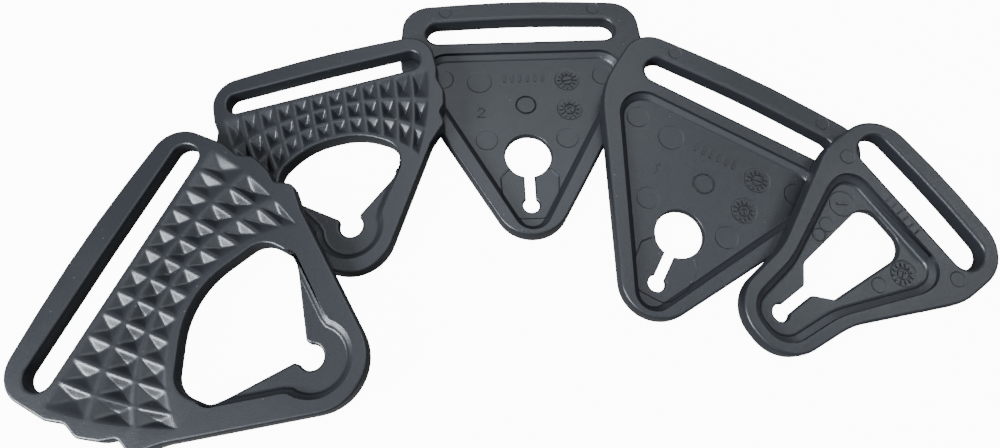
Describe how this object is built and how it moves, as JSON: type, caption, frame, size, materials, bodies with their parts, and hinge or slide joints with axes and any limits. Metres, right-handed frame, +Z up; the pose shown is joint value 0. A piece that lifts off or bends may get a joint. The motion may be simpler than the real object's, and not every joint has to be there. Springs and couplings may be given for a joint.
{
  "type": "webbing strap end plate set",
  "caption": "Fanned set of loose moulded plastic strap end plates, each with a webbing slot and a snap opening for a headed stud.",
  "frame": {"origin": "on the table, under the middle of the whole fan", "axes": "+X to the right along the fan, +Y away from the plates' apexes, +Z up"},
  "size_m": [0.2054, 0.108, 0.0097],
  "materials": {
    "moulded_black": "fine moulded texture, semi-matte charcoal black"
  },
  "bodies": {
    "keyhole_plate_centre": {"keyhole_plate_centre": "moulded_black"},
    "grip_plate_40": {"grip_plate_40": "moulded_black"},
    "grip_plate_50": {"grip_plate_50": "moulded_black"},
    "keyhole_plate_right": {"keyhole_plate_right": "moulded_black"},
    "flared_plate": {"flared_plate": "moulded_black"}
  },
  "joints": [
    {"name": "lift_grip_plate_40", "type": "slide", "parent": "keyhole_plate_centre", "child": "grip_plate_40", "axis": [0, 0, 1], "range_m": [0, 0.06]},
    {"name": "lift_grip_plate_50", "type": "slide", "parent": "grip_plate_40", "child": "grip_plate_50", "axis": [0, 0, 1], "range_m": [0, 0.06]},
    {"name": "lift_keyhole_plate_right", "type": "slide", "parent": "keyhole_plate_centre", "child": "keyhole_plate_right", "axis": [0, 0, 1], "range_m": [0, 0.06]},
    {"name": "lift_flared_plate", "type": "slide", "parent": "keyhole_plate_right", "child": "flared_plate", "axis": [0, 0, 1], "range_m": [0, 0.06]}
  ]
}
